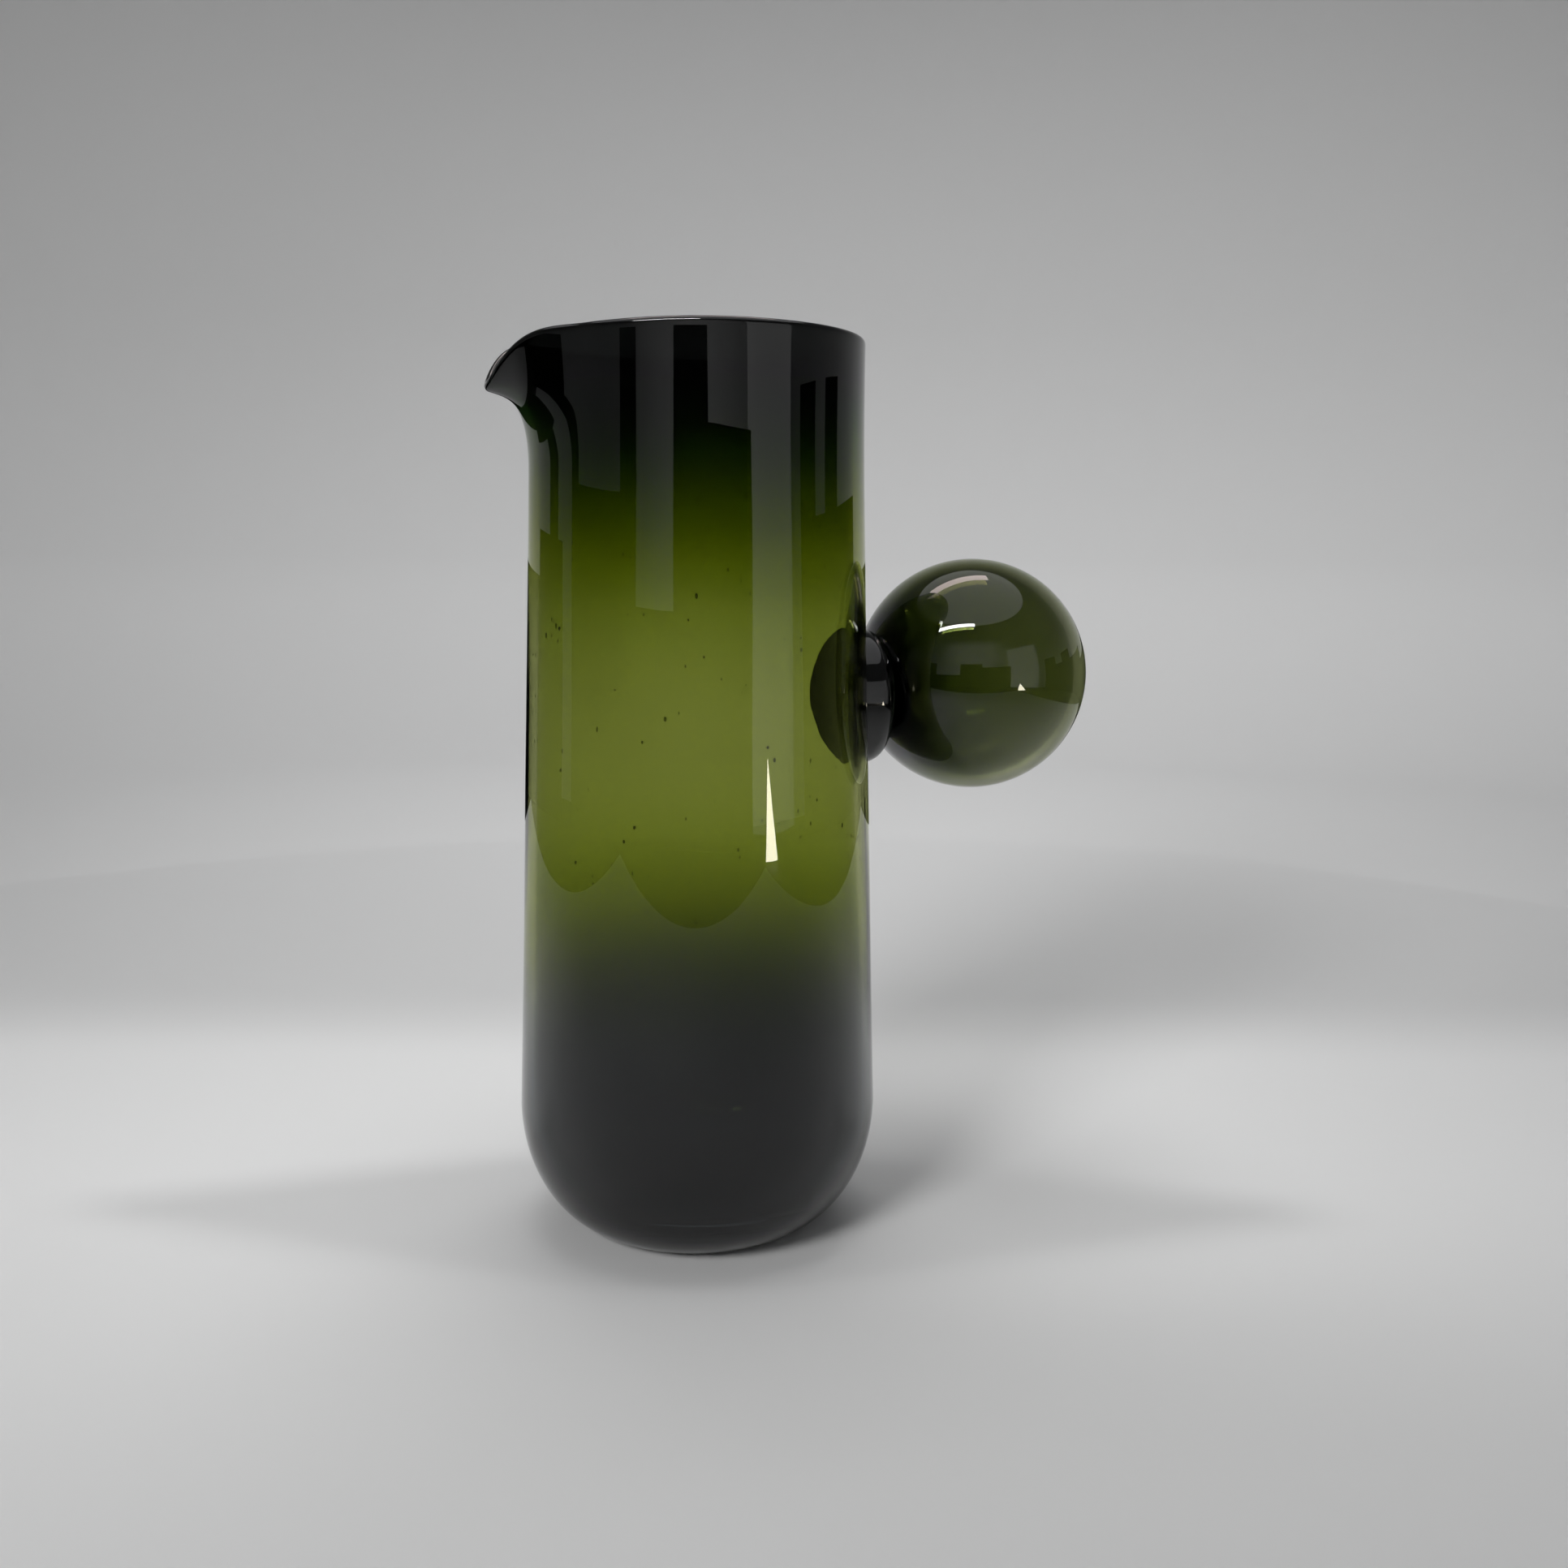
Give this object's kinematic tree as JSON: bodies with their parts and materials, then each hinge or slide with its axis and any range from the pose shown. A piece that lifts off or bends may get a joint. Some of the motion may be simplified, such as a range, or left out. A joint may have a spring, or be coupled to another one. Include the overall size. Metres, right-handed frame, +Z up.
{
  "type": "glass pitcher",
  "caption": "Tall hand-blown glass pitcher with a rounded base, a pulled pouring lip and a hollow ball handle held to the wall by a disc-shaped collar.",
  "frame": {"origin": "centre of the ground flat under the base, on the surface that the pitcher stands on", "axes": "+Z up along the vessel's axis, +X towards the ball handle, so the pouring lip points to -X"},
  "size_m": [0.1835, 0.1064, 0.26],
  "materials": {
    "vessel_glass": "fire-polished",
    "collar_glass": "fire-polished",
    "ball_glass": "fire-polished"
  },
  "bodies": {
    "root": {"vessel_body": "vessel_glass", "joint_collar": "collar_glass", "ball_handle": "ball_glass"}
  },
  "joints": []
}
